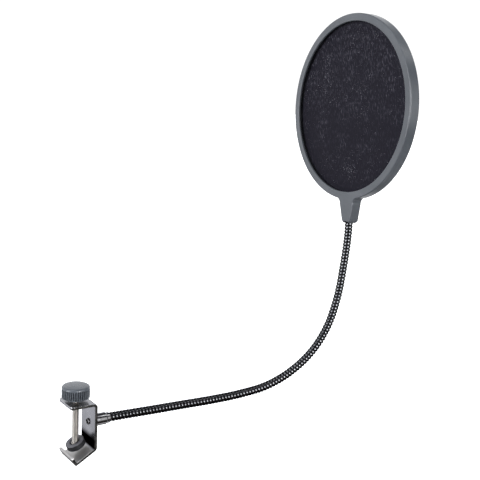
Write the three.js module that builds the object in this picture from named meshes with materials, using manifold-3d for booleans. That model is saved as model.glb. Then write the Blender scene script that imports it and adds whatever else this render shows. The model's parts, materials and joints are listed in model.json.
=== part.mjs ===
// Clip-on microphone pop filter: a hoop with two nylon screens on a gooseneck, with a screw clamp
// that grips a stand tube. Millimetres, +Z up.
// The origin is where the axis of the clamp screw meets the jaw, so it sits just under a gripped tube.
// +X runs out of the clamp along the gooseneck's first stretch, and +Z runs up the clamp screw.

import * as THREE from "three";
import { mergeVertices } from "three/addons/utils/BufferGeometryUtils.js";
import Module from "manifold-3d";

const wasm = await Module();
wasm.setup();

// Clearances
const slideGap = 0.15; // round a part that turns or slides in another
const seatGap = 0.15; // between pieces that rest on each other

// Clamp bracket, one bent steel strip
const stripWidth = 23;
const stripThickness = 2;
const tabLength = 20.4; // from the outer face of the back plate
const plateHeight = 35.4; // outside, from the tab's top to the corner where the jaw starts
const jawSlope = 30; // degrees that the jaw's back leg falls below level
const jawLegLength = 19; // outside, from the plate's corner to the bottom of the V
const jawAngle = 90; // degrees inside the V
const jawLipLength = 7.2; // outside, from the bottom of the V to the lip's edge
const bendRadius = 1; // inside the bends above and below the back plate
const bendOuterRadius = 3;
const jawBendRadius = 0.4; // inside the V, which is pressed sharper
const jawBendOuterRadius = 1.5;
const tabCornerRadius = 3;
const screwToPlate = 12; // screw axis to the plate's outer face

// Ferrule that holds the gooseneck on the plate
const ferruleWall = 0.9;
const ferruleMouthWall = 0.2;
const ferruleLength = 14.2;
const ferruleTaper = 3;
const ferruleBoreDepth = 9;
const ferruleBelowTab = 17.2; // ferrule axis below the tab's top
const tenonRadius = 2.1;
const tenonHeadRadius = 2.45;
const tenonHeadHeight = 0.8;
const tenonHeadRound = 0.3;
const tenonBoreRadius = 1.75;

// Clamp screw, its knob and its swivel pad
const screwRadius = 2.4;
const swivelHeight = 8.3; // centre of the screw's round nose above the jaw, as it stands
const knobRadius = 10.1;
const knobHeight = 9.4;
const knobClearance = 2.9; // knob above the tab, as it stands
const knobRimRadius = 1.3;
const knobDome = 0.4;
const knobFootChamfer = 0.5;
const knobSocketDepth = 6.2;
const padRadius = 7;
const padFloor = 0.575; // under the pocket for the screw's nose
const padAboveSwivel = 1.6;
const padTilt = 25; // degrees that the pad hangs towards the lip, as it stands
const padSwing = 33; // degrees that the pad's mouth leaves room for, each way
const padEdge = 0.6;
const snapRingWidth = 1.1;
const snapRingThickness = 0.6;
const grooveDepth = 0.5;

// Gooseneck
const neckRadius = 3.45;
const sectionCount = 12; // bending places along its visible length
const neckEndGap = 1; // before the bottom of the ferrule's bore
const ballSlack = 0.02; // least room between the round end of one section and the cup of the next

// Head
const hoopRadius = 77.5;
const hoopRimWidth = 6.3; // of the front lip, from the hoop's outside to its opening
const hoopDepth = 9.4;
const hoopWall = 2.2;
const hoopLip = 1.7; // thickness of the hoop's front lip
const hoopEdge = 0.9; // rounding of the hoop's outer edges
const pressRingDepth = 2.4;
const spacerDepth = 1.6;
const screenThickness = 0.35;
const innerRingStep = 0.6; // press ring and spacer open this much wider than the hoop
const headStem = 20.1; // gooseneck mouth to the hoop's outer edge
const headTurn = new THREE.Euler(-0.12, 0.04, -0.045); // lean, tilt and turn of the head, radians
const socketForward = 0.6; // gooseneck axis ahead of the hoop's middle plane
const stemTopHalfWidth = 8.9;
const stemBottomHalfWidth = 5.7;
const stemCornerRadius = 2.6;
const stemFlareRadius = 5;
const stemSocketDepth = 3;
const studRadius = 2;
const studLength = 18;
const studInStem = 11;

// Facets
const hoopFacets = 72;
const smallFacets = 24;
const knobFacets = 40;
const padFacets = 32;
const neckFacets = 10;
const stepsPerSection = 5;
const bendFacets = 4;
const noseFacets = 5;
const rimFacets = 3;
const routeSteps = 600;
const cutMargin = 1; // that a cutter runs past what it cuts

const degrees = THREE.MathUtils.degToRad;
const point = (x, y, z) => new THREE.Vector3(x, y, z);
const flat = (x, y) => new THREE.Vector2(x, y);

// Places that follow from the sizes
const plateOuterX = screwToPlate;
const plateInnerX = plateOuterX - stripThickness;
const legTop = Math.tan(degrees(jawSlope)) * screwToPlate;
const plateFootZ = legTop - stripThickness / Math.cos(degrees(jawSlope)); // outer corner over the jaw
const tabTopZ = plateFootZ + plateHeight;
const ferruleZ = tabTopZ - ferruleBelowTab;
const knobBottomZ = tabTopZ + knobClearance;
const ferruleMouthX = plateOuterX + ferruleLength;
const neckBore = neckRadius + slideGap;
const neckCupRadius = neckRadius / Math.cos(Math.PI / neckFacets) ** 2 + ballSlack; // clears the facets
const stubInFerrule = ferruleBoreDepth - neckEndGap;

// Route of the gooseneck's centre line: out of the ferrule, along, then up into the head
const route = [
  point(ferruleMouthX - stubInFerrule, 0, ferruleZ),
  point(ferruleMouthX, 0, ferruleZ),
  point(88, 0, 21.2),
  point(140, -2.5, 21.8),
  point(172, -5, 27),
  point(199, -6, 40),
  point(220, -5.8, 59),
  point(235, -3, 85),
  point(245.5, 1.5, 119),
  point(252.2, 6, 153.2),
];
const mouth = route[route.length - 1];
const headUp = point(0, 0, 1).applyEuler(headTurn);
route.push(mouth.clone().addScaledVector(headUp, studInStem));
const neckLine = new THREE.CatmullRomCurve3(route, false, "centripetal");
neckLine.arcLengthDivisions = routeSteps;

// Materials
const paint = (color, roughness, metalness) =>
  new THREE.MeshStandardMaterial({ color, roughness, metalness });
const materials = {
  bracketPaint: paint(0x16171a, 0.25, 0.3),
  ferruleBlack: paint(0x1c1d20, 0.2, 0.6),
  screwSteel: paint(0xc9c6bf, 0.3, 1),
  knobPlastic: paint(0x4a4e57, 0.5, 0),
  padPlastic: paint(0x3b3b42, 0.6, 0),
  gooseneckSteel: paint(0x2b2c2f, 0.25, 1),
  hoopPlastic: paint(0x6c6f74, 0.5, 0),
  innerRingPlastic: paint(0x0c0c0e, 0.7, 0),
  screenNylon: paint(0x22212a, 0.9, 0),
};

// A closed geometry as a solid that can be cut and joined, and back
function toSolid(geometry) {
  const bare = geometry.index ? geometry.toNonIndexed() : geometry.clone();
  bare.deleteAttribute("normal");
  bare.deleteAttribute("uv");
  const merged = mergeVertices(bare, 1e-4);
  const vertProperties = merged.attributes.position.array;
  const triVerts = new Uint32Array(merged.index.array);
  return new wasm.Manifold(new wasm.Mesh({ numProp: 3, vertProperties, triVerts }));
}

function toGeometry(solid) {
  const { vertProperties, triVerts } = solid.getMesh();
  const geometry = new THREE.BufferGeometry();
  geometry.setAttribute("position", new THREE.BufferAttribute(vertProperties, 3));
  geometry.setIndex(new THREE.BufferAttribute(triVerts, 1));
  geometry.computeVertexNormals();
  return geometry;
}

// Turned shapes: the profile is [radius, place along the axis], anticlockwise in that plane
function turned(profile, facets, axis) {
  const geometry = new THREE.LatheGeometry(profile.map(([r, h]) => flat(r, h)), facets);
  return axis === "x" ? geometry.rotateZ(-Math.PI / 2) : geometry.rotateX(Math.PI / 2);
}

function ringProfile(inner, outer, low, high) {
  return [[inner, low], [outer, low], [outer, high], [inner, high], [inner, low]];
}

// Points of an arc in a plane, from one angle to another
function arcPoints(centreX, centreY, radius, from, to, steps) {
  return Array.from({ length: steps + 1 }, (_, i) => {
    const angle = from + ((to - from) * i) / steps;
    return flat(centreX + radius * Math.cos(angle), centreY + radius * Math.sin(angle));
  });
}

// A prism of an outline drawn in X and Z, centred on Y = 0
function prismAcrossY(outline, width) {
  const shape = new THREE.Shape(outline);
  const geometry = new THREE.ExtrudeGeometry(shape, { depth: width, bevelEnabled: false });
  return geometry.rotateX(Math.PI / 2).translate(0, width / 2, 0);
}

// A prism of an outline drawn in Y and Z, centred on X = 0
function prismAcrossX(outline, width) {
  const shape = new THREE.Shape(outline);
  const geometry = new THREE.ExtrudeGeometry(shape, { depth: width, bevelEnabled: false });
  return geometry.rotateX(Math.PI / 2).rotateZ(Math.PI / 2).translate(-width / 2, 0, 0);
}

function named(name, geometry, material) {
  const mesh = new THREE.Mesh(geometry, material);
  mesh.name = name;
  return mesh;
}

// Outline of a bent strip in X and Z. The corners are where its outer faces meet, in order, and the
// strip lies to the left of the way from one corner to the next. Each bend has its two radii.
function bentStripOutline(corners, bends) {
  const outer = [corners[0]];
  const inner = [];
  const leftOf = (way) => flat(-way.y, way.x);
  const wayTo = (i) => corners[i + 1].clone().sub(corners[i]).normalize();
  const roundCorner = (corner, before, turn, radius) => {
    const centre = corner.clone().addScaledVector(before, -radius * Math.tan(turn / 2));
    centre.addScaledVector(leftOf(before), radius);
    const start = Math.atan2(-leftOf(before).y, -leftOf(before).x);
    return arcPoints(centre.x, centre.y, radius, start, start + turn, bendFacets);
  };
  inner.push(corners[0].clone().addScaledVector(leftOf(wayTo(0)), stripThickness));
  for (let i = 1; i < corners.length - 1; i += 1) {
    const before = wayTo(i - 1);
    const after = wayTo(i);
    const turn = Math.acos(THREE.MathUtils.clamp(before.dot(after), -1, 1));
    const insideCorner = corners[i].clone().addScaledVector(leftOf(before), stripThickness);
    insideCorner.addScaledVector(before, -stripThickness * Math.tan(turn / 2));
    outer.push(...roundCorner(corners[i], before, turn, bends[i - 1].outside));
    inner.push(...roundCorner(insideCorner, before, turn, bends[i - 1].inside));
  }
  const last = corners.length - 1;
  outer.push(corners[last]);
  inner.push(corners[last].clone().addScaledVector(leftOf(wayTo(last - 1)), stripThickness));
  return [...outer, ...inner.reverse()];
}

// Corners of the clamp bracket's outer faces, from the jaw's lip round to the end of the tab
function bracketCorners() {
  const foot = flat(plateOuterX, plateFootZ);
  const legWay = degrees(180 + jawSlope);
  const vee = foot.clone().add(flat(Math.cos(legWay), Math.sin(legWay)).multiplyScalar(jawLegLength));
  const lipWay = degrees(jawSlope + jawAngle);
  const lip = vee.clone().add(flat(Math.cos(lipWay), Math.sin(lipWay)).multiplyScalar(jawLipLength));
  return [lip, vee, foot, flat(plateOuterX, tabTopZ), flat(plateOuterX - tabLength, tabTopZ)];
}

// What is cut away to round one front corner of the tab, drawn in X and Y
function tabCornerCutter(side) {
  const cornerX = plateOuterX - tabLength;
  const cornerY = (side * stripWidth) / 2;
  const centreX = cornerX + tabCornerRadius;
  const centreY = cornerY - side * tabCornerRadius;
  const from = Math.PI;
  const to = from - (side * Math.PI) / 2;
  const arc = arcPoints(centreX, centreY, tabCornerRadius, from, to, bendFacets);
  const beyondX = cornerX - cutMargin;
  const beyondY = cornerY + side * cutMargin;
  const outline = [...arc, flat(centreX, beyondY), flat(beyondX, beyondY), flat(beyondX, centreY)];
  const shape = new THREE.Shape(outline);
  const depth = 2 * stripThickness;
  const geometry = new THREE.ExtrudeGeometry(shape, { depth, bevelEnabled: false });
  return geometry.translate(0, 0, tabTopZ - 1.5 * stripThickness);
}

function clampBracket() {
  const plateBend = { inside: bendRadius, outside: bendOuterRadius };
  const jawBend = { inside: jawBendRadius, outside: jawBendOuterRadius };
  const outline = bentStripOutline(bracketCorners(), [jawBend, plateBend, plateBend]);
  let solid = toSolid(prismAcrossY(outline, stripWidth));
  const screwHole = new THREE.CylinderGeometry(
    screwRadius + slideGap, screwRadius + slideGap, 2 * stripThickness, smallFacets);
  screwHole.rotateX(Math.PI / 2).translate(0, 0, tabTopZ - stripThickness / 2);
  const tenonHole = new THREE.CylinderGeometry(
    tenonRadius + slideGap, tenonRadius + slideGap, 2 * stripThickness, smallFacets);
  tenonHole.rotateZ(Math.PI / 2).translate(plateOuterX - stripThickness / 2, 0, ferruleZ);
  [screwHole, tenonHole, tabCornerCutter(1), tabCornerCutter(-1)].forEach((cutter) => {
    solid = solid.subtract(toSolid(cutter));
  });
  return named("clamp_bracket", toGeometry(solid), materials.bracketPaint);
}

// The ferrule is riveted through the plate by a hollow tenon, and the gooseneck sits in its bore
function baseFerrule() {
  const headInnerX = plateInnerX - seatGap;
  const ferruleRadius = neckBore + ferruleWall;
  const profile = [
    [tenonBoreRadius, headInnerX - tenonHeadHeight],
    [tenonHeadRadius - tenonHeadRound, headInnerX - tenonHeadHeight],
    [tenonHeadRadius, headInnerX - tenonHeadHeight + tenonHeadRound],
    [tenonHeadRadius, headInnerX],
    [tenonRadius, headInnerX],
    [tenonRadius, plateOuterX + seatGap],
    [ferruleRadius, plateOuterX + seatGap],
    [ferruleRadius, ferruleMouthX - ferruleTaper],
    [neckBore + ferruleMouthWall, ferruleMouthX],
    [neckBore, ferruleMouthX],
    [neckBore, ferruleMouthX - ferruleBoreDepth],
    [tenonBoreRadius, ferruleMouthX - ferruleBoreDepth],
    [tenonBoreRadius, headInnerX - tenonHeadHeight],
  ];
  const mesh = named("base_ferrule", turned(profile, smallFacets, "x"), materials.ferruleBlack);
  mesh.position.z = ferruleZ;
  return mesh;
}

// The screw ends in a round nose with a groove for the snap ring, and its top is moulded in the knob
function clampScrew() {
  const grooveHalf = snapRingThickness / 2 + slideGap;
  const grooveRadius = screwRadius - grooveDepth;
  const grooveAngle = -Math.asin(grooveHalf / screwRadius);
  const nose = arcPoints(0, 0, screwRadius, -Math.PI / 2, grooveAngle, noseFacets);
  const top = knobBottomZ + knobSocketDepth - seatGap - swivelHeight;
  const profile = [
    ...nose.map((p) => [Math.max(p.x, 0), p.y]),
    [grooveRadius, -grooveHalf],
    [grooveRadius, grooveHalf],
    [screwRadius, grooveHalf],
    [screwRadius, top],
    [0, top],
  ];
  const mesh = named("clamp_screw", turned(profile, smallFacets, "z"), materials.screwSteel);
  mesh.position.z = swivelHeight;
  return mesh;
}

function padSnapRing() {
  const inner = screwRadius - grooveDepth + slideGap / 2;
  const half = snapRingThickness / 2;
  const profile = ringProfile(inner, inner + snapRingWidth, -half, half);
  const mesh = named("pad_snap_ring", turned(profile, smallFacets, "z"), materials.screwSteel);
  mesh.position.z = swivelHeight;
  return mesh;
}

function knob() {
  const socket = screwRadius + slideGap;
  const rimHeight = knobHeight - knobDome - knobRimRadius;
  const rim = arcPoints(knobRadius - knobRimRadius, rimHeight, knobRimRadius, 0, Math.PI / 2, rimFacets);
  const profile = [
    [socket, 0],
    [knobRadius - knobFootChamfer, 0],
    [knobRadius, knobFootChamfer],
    ...rim.map((p) => [p.x, p.y]),
    [0, knobHeight],
    [0, knobSocketDepth],
    [socket, knobSocketDepth],
    [socket, 0],
  ];
  const mesh = named("knob", turned(profile, knobFacets, "z"), materials.knobPlastic);
  mesh.position.z = knobBottomZ;
  return mesh;
}

// The pad swivels on the screw's nose: a flared mouth over a pocket that clears the snap ring
function clampPad() {
  const ringRadius = screwRadius - grooveDepth + slideGap / 2 + snapRingWidth;
  const cupRadius = ringRadius + 2 * slideGap;
  const cupFloor = -(screwRadius + 1.5 * slideGap);
  const swing = degrees(padSwing);
  const mouthAt = (height) => screwRadius / Math.cos(swing) + height * Math.tan(swing) + slideGap;
  const bottom = cupFloor - padFloor;
  const throat = (cupRadius - mouthAt(0)) / Math.tan(swing);
  const profile = [
    [0, bottom],
    [padRadius - padEdge, bottom],
    [padRadius, bottom + padEdge],
    [padRadius, padAboveSwivel - padEdge],
    [padRadius - padEdge, padAboveSwivel],
    [mouthAt(padAboveSwivel), padAboveSwivel],
    [cupRadius, throat],
    [cupRadius, cupFloor * 0.75],
    [screwRadius * 0.8, cupFloor],
    [0, cupFloor],
  ];
  const mesh = named("clamp_pad", turned(profile, padFacets, "z"), materials.padPlastic);
  mesh.position.z = swivelHeight;
  mesh.rotation.y = -degrees(padTilt);
  return mesh;
}

// The part of the centre line between two distances along it, as a curve of its own
class Stretch extends THREE.Curve {
  constructor(from, to) {
    super();
    this.from = from / neckLine.getLength();
    this.to = to / neckLine.getLength();
  }

  getPoint(t, target = new THREE.Vector3()) {
    return target.copy(neckLine.getPointAt(THREE.MathUtils.lerp(this.from, this.to, t)));
  }
}

function ballAt(distance, radius) {
  const ball = new THREE.SphereGeometry(radius, neckFacets, neckFacets / 2);
  const centre = neckLine.getPointAt(distance / neckLine.getLength());
  return ball.translate(centre.x, centre.y, centre.z);
}

function neckTube(from, to, radius, steps) {
  const circle = new THREE.Shape(arcPoints(0, 0, radius, 0, 2 * Math.PI, neckFacets).slice(0, -1));
  const extrudePath = new Stretch(from, to);
  return new THREE.ExtrudeGeometry(circle, { steps, extrudePath });
}

// The gooseneck as a chain: each section has a round end that turns in the cup of the next one
function gooseneck() {
  const visible = neckLine.getLength() - stubInFerrule - studInStem;
  const pitch = visible / sectionCount;
  const bendAt = (i) => stubInFerrule + (i - 0.5) * pitch;
  const mouthAt = stubInFerrule + visible;
  const sections = [];
  for (let i = 0; i <= sectionCount; i += 1) {
    const first = i === 0;
    const last = i === sectionCount;
    const from = first ? 0 : bendAt(i);
    const to = last ? mouthAt + stemSocketDepth - seatGap : bendAt(i + 1);
    let solid = toSolid(neckTube(from, to, neckRadius, stepsPerSection));
    if (!last) solid = solid.add(toSolid(ballAt(to, neckRadius)));
    if (!first) solid = solid.subtract(toSolid(ballAt(from, neckCupRadius)));
    if (last) {
      const boreFrom = mouthAt + studInStem - studLength - seatGap;
      const bore = neckTube(boreFrom, to + stemSocketDepth, studRadius + slideGap, stepsPerSection);
      solid = solid.subtract(toSolid(bore));
    }
    const centre = neckLine.getPointAt(from / neckLine.getLength());
    const geometry = toGeometry(solid).translate(-centre.x, -centre.y, -centre.z);
    let name = `gooseneck_section_${String(i).padStart(2, "0")}`;
    if (first) name = "gooseneck_base_end";
    if (last) name = "gooseneck_head_end";
    const mesh = named(name, geometry, materials.gooseneckSteel);
    mesh.position.copy(centre);
    sections.push(mesh);
  }
  return sections;
}

// Steel stud that is fixed in the gooseneck's end and screwed into the stem of the head
function neckStud() {
  const end = neckLine.getLength();
  const stud = neckTube(end - studLength, end - seatGap, studRadius, stepsPerSection);
  return named("neck_stud", stud, materials.screwSteel);
}

// The head is built upright: its origin is the middle of the stem's end, the front faces -X
const hoopCentreZ = headStem + hoopRadius;
const frontX = -hoopDepth / 2;
const pocketRadius = hoopRadius - hoopWall;
const openingRadius = hoopRadius - hoopRimWidth;
const innerRingRadius = openingRadius + innerRingStep;
const pressRingX = frontX + hoopLip + seatGap;
const frontScreenX = pressRingX + pressRingDepth + seatGap;
const spacerX = frontScreenX + screenThickness + seatGap;
const rearScreenX = spacerX + spacerDepth + seatGap;
const rearRingX = rearScreenX + screenThickness + seatGap;

// Outline of the stem in Y and Z, with rounded lower corners and flares that run into the hoop
function stemOutline() {
  const radius = stemCornerRadius;
  const corner = arcPoints(stemBottomHalfWidth - radius, radius, radius, -Math.PI / 2, 0, bendFacets);
  const flareX = stemTopHalfWidth + stemFlareRadius;
  const below = Math.sqrt((hoopRadius + stemFlareRadius) ** 2 - flareX ** 2);
  const touch = Math.atan2(below, -flareX);
  const flareZ = hoopCentreZ - below;
  const flare = arcPoints(flareX, flareZ, stemFlareRadius, Math.PI, touch, bendFacets);
  const tip = flare[flare.length - 1];
  const half = [...corner, ...flare, flat(tip.x, tip.y + hoopWall / 2)];
  const mirrored = half.map((p) => flat(-p.x, p.y)).reverse();
  return [...half, ...mirrored];
}

// The stem seen from the side: its lower edge is rounded front and back
function stemSideOutline() {
  const half = hoopDepth / 2;
  const radius = stemCornerRadius;
  const top = headStem + hoopWall;
  return [
    ...arcPoints(half - radius, radius, radius, -Math.PI / 2, 0, bendFacets),
    flat(half, top),
    flat(-half, top),
    ...arcPoints(-half + radius, radius, radius, Math.PI, Math.PI * 1.5, bendFacets),
  ];
}

function hoopShell() {
  const rear = hoopDepth / 2;
  const edgeMiddle = hoopEdge * (1 - Math.SQRT1_2); // of the rounded edge, at 45 degrees
  const ring = [
    [openingRadius, frontX],
    [hoopRadius - hoopEdge, frontX],
    [hoopRadius - edgeMiddle, frontX + edgeMiddle],
    [hoopRadius, frontX + hoopEdge],
    [hoopRadius, rear - hoopEdge / 2],
    [hoopRadius - hoopEdge / 2, rear],
    [pocketRadius, rear],
    [pocketRadius, frontX + hoopLip],
    [openingRadius, frontX + hoopLip],
    [openingRadius, frontX],
  ];
  const stemWide = toSolid(prismAcrossX(stemOutline(), hoopDepth));
  const stemDeep = toSolid(prismAcrossY(stemSideOutline(), 4 * stemTopHalfWidth));
  const pocket = new THREE.CylinderGeometry(pocketRadius, pocketRadius, 2 * hoopDepth, hoopFacets);
  pocket.rotateZ(Math.PI / 2).translate(0, 0, hoopCentreZ);
  const socket = new THREE.CylinderGeometry(neckBore, neckBore, 2 * stemSocketDepth, smallFacets);
  socket.rotateX(Math.PI / 2).translate(-socketForward, 0, 0);
  const studBore = new THREE.CylinderGeometry(
    studRadius + slideGap, studRadius + slideGap, 2 * (studInStem + seatGap), smallFacets);
  studBore.rotateX(Math.PI / 2).translate(-socketForward, 0, 0);
  let solid = stemWide.intersect(stemDeep).subtract(toSolid(pocket));
  solid = solid.add(toSolid(turned(ring, hoopFacets, "x").translate(0, 0, hoopCentreZ)));
  solid = solid.subtract(toSolid(socket)).subtract(toSolid(studBore));
  return named("hoop_shell", toGeometry(solid), materials.hoopPlastic);
}

// A flat ring or disc in the hoop's pocket
function headRing(name, inner, depthStart, thickness, material) {
  const outer = pocketRadius - seatGap;
  const profile = inner > 0
    ? ringProfile(inner, outer, depthStart, depthStart + thickness)
    : [[0, depthStart], [outer, depthStart], [outer, depthStart + thickness], [0, depthStart + thickness]];
  const mesh = named(name, turned(profile, hoopFacets, "x"), material);
  mesh.position.z = hoopCentreZ;
  return mesh;
}

function head() {
  const { hoopPlastic, innerRingPlastic, screenNylon } = materials;
  const rearDepth = hoopDepth / 2 - rearRingX;
  const upright = new THREE.Group();
  upright.add(
    hoopShell(),
    headRing("front_press_ring", innerRingRadius, pressRingX, pressRingDepth, innerRingPlastic),
    headRing("front_screen", 0, frontScreenX, screenThickness, screenNylon),
    headRing("screen_spacer", innerRingRadius, spacerX, spacerDepth, innerRingPlastic),
    headRing("rear_screen", 0, rearScreenX, screenThickness, screenNylon),
    headRing("rear_cover_ring", openingRadius, rearRingX, rearDepth, hoopPlastic),
  );
  upright.position.x = socketForward;
  const turnedHead = new THREE.Group();
  turnedHead.add(upright);
  turnedHead.rotation.copy(headTurn);
  turnedHead.position.copy(mouth);
  return turnedHead;
}

const group = new THREE.Group();
group.add(
  clampBracket(),
  baseFerrule(),
  clampScrew(),
  knob(),
  padSnapRing(),
  clampPad(),
  ...gooseneck(),
  neckStud(),
  head(),
);

export default group;
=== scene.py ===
import json
import math

import bmesh
import bpy
from mathutils import Matrix, Vector, kdtree, noise


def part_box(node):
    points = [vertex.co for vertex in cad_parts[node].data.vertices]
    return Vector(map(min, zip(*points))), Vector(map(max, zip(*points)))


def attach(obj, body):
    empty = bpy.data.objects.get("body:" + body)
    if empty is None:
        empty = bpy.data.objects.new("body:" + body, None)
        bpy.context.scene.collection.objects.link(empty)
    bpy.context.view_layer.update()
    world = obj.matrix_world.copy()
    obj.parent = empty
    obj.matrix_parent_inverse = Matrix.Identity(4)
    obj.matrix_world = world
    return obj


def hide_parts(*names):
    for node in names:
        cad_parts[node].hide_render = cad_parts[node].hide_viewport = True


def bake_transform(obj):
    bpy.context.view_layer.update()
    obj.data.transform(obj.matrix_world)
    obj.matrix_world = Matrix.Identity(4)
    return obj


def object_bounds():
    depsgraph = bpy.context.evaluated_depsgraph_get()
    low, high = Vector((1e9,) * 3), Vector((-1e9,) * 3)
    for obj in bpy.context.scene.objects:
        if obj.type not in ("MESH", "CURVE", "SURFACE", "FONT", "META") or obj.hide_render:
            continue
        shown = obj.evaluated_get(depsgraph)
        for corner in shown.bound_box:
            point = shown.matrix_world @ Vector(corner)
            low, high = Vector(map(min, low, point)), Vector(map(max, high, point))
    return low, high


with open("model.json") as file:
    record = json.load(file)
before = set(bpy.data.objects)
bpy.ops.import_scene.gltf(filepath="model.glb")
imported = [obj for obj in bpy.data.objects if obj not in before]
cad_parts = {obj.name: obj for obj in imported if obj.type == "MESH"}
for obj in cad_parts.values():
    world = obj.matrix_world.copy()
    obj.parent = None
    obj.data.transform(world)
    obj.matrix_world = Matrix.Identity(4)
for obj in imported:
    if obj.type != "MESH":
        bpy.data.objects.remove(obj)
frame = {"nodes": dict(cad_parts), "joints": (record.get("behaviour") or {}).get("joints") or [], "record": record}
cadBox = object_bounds()
mm = 0.001  # every size below is in millimetres
scene = bpy.context.scene
nodes = frame["nodes"]
joints = {joint["name"]: joint for joint in frame["joints"]}
print("frame loaded:", len(nodes), "nodes")


# camera

view = {
    "spot": (-261.35, -576.93, 287.11),
    "heading": 55.43,  # degrees from +X
    "pitch": 11.23,  # degrees down
    "roll": 2.73,
    "lens": 69,
}


def placeCamera():
    heading, pitch, roll = (math.radians(view[k]) for k in ("heading", "pitch", "roll"))
    flat = math.cos(pitch)
    forward = Vector((math.cos(heading) * flat, math.sin(heading) * flat, -math.sin(pitch)))
    level = Vector((math.sin(heading), -math.cos(heading), 0))
    right = level * math.cos(roll) + level.cross(forward) * math.sin(roll)
    camera = bpy.data.objects.new("camera", bpy.data.cameras.new("camera"))
    camera.data.lens = view["lens"]
    camera.data.sensor_width = 36
    camera.data.clip_start = 0.01
    turn = Matrix((right, right.cross(forward), -forward)).transposed()
    camera.matrix_world = Matrix.Translation(Vector(view["spot"]) * mm) @ turn.to_4x4()
    scene.collection.objects.link(camera)
    scene.camera = camera


placeCamera()
print("camera placed")


# studio: pale floor, white surroundings and soft boxes

studio = {
    "floorDrop": 260,  # floor below the object
    "floorReach": 9000,
    "floorGlow": 0.8,
    # heading and width in degrees round the object, low and high in degrees over its level;
    # soft and fade are how gently a box ends sideways and upwards
    "softBoxes": [
        {"heading": 80, "width": 150, "low": -36, "high": 38, "soft": 30, "fade": 22,
         "colour": (1.36, 1.38, 1.42)},
        {"heading": -59, "width": 24, "low": -13, "high": 28, "soft": 12, "fade": 12,
         "colour": (1.8, 1.8, 1.78)},
        {"heading": -87, "width": 20, "low": -6, "high": 26, "soft": 6, "fade": 8,
         "colour": (22, 22, 22.3)},
        {"heading": -178, "width": 20, "low": -12, "high": 26, "soft": 6, "fade": 8,
         "colour": (20, 20.2, 20.8)},
        {"heading": 165, "width": 130, "low": 52, "high": 84, "soft": 20, "fade": 14,
         "colour": (2.7, 2.8, 2.9)},
        {"heading": -28, "width": 26, "low": 44, "high": 66, "soft": 10, "fade": 12,
         "colour": (4.5, 4.5, 4.5)},
        {"heading": -22, "width": 34, "low": -80, "high": -58, "soft": 10, "fade": 10,
         "colour": (3.0, 3.0, 3.0)},
    ],
    "roomColour": (0.05, 0.058, 0.075),
    "belowColour": (0.05, 0.044, 0.036),
}


def buildWorld():
    world = bpy.data.worlds.new("studio")
    scene.world = world
    world.use_nodes = True
    tree = world.node_tree
    tree.nodes.clear()

    def add(kind, **values):
        node = tree.nodes.new(kind)
        for key, value in values.items():
            setattr(node, key, value)
        return node

    def math1(operation, a, b=None, c=None):
        node = add("ShaderNodeMath", operation=operation)
        for i, value in enumerate((a, b, c)):
            if value is None:
                continue
            if isinstance(value, (int, float)):
                node.inputs[i].default_value = value
            else:
                tree.links.new(value, node.inputs[i])
        return node.outputs[0]

    def ramp(value, low, high):
        node = add("ShaderNodeMapRange", interpolation_type="SMOOTHSTEP")
        tree.links.new(value, node.inputs["Value"])
        node.inputs["From Min"].default_value = low
        node.inputs["From Max"].default_value = high
        return node.outputs["Result"]

    direction = add("ShaderNodeTexCoord").outputs["Generated"]
    split = add("ShaderNodeSeparateXYZ")
    tree.links.new(direction, split.inputs[0])
    height = math1("ARCSINE", split.outputs["Z"])

    def blendColour(factor, a, b):
        node = add("ShaderNodeMix", data_type="RGBA")
        tree.links.new(factor, node.inputs[0])
        for socket, value in ((node.inputs[6], a), (node.inputs[7], b)):
            if isinstance(value, tuple):
                socket.default_value = (*value, 1)
            else:
                tree.links.new(value, socket)
        return node.outputs[2]

    colour = blendColour(ramp(height, -0.25, 0.25), studio["belowColour"], studio["roomColour"])
    for box in studio["softBoxes"]:
        heading = math.radians(box["heading"])
        along = math1("MULTIPLY", split.outputs["X"], math.cos(heading))
        along = math1("MULTIPLY_ADD", split.outputs["Y"], math.sin(heading), along)
        across = math1("MULTIPLY", split.outputs["X"], -math.sin(heading))
        across = math1("MULTIPLY_ADD", split.outputs["Y"], math.cos(heading), across)
        bearing = math1("ABSOLUTE", math1("ARCTAN2", across, along))
        soft, half = math.radians(box["soft"]), math.radians(box["width"] / 2)
        mask = ramp(bearing, half + soft / 2, half - soft / 2)
        low, high = math.radians(box["low"]), math.radians(box["high"])
        fade = math.radians(box["fade"])
        mask = math1("MULTIPLY", mask, ramp(height, low - fade / 2, low + fade / 2))
        mask = math1("MULTIPLY", mask, ramp(height, high + fade / 2, high - fade / 2))
        colour = blendColour(mask, colour, box["colour"])

    light = add("ShaderNodeBackground")
    tree.links.new(colour, light.inputs["Color"])
    backdrop = add("ShaderNodeBackground")
    backdrop.inputs["Color"].default_value = (1, 1, 1, 1)
    backdrop.inputs["Strength"].default_value = 1.1
    mix = add("ShaderNodeMixShader")
    tree.links.new(add("ShaderNodeLightPath").outputs["Is Camera Ray"], mix.inputs[0])
    tree.links.new(light.outputs[0], mix.inputs[1])
    tree.links.new(backdrop.outputs[0], mix.inputs[2])
    tree.links.new(mix.outputs[0], add("ShaderNodeOutputWorld").inputs["Surface"])


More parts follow.
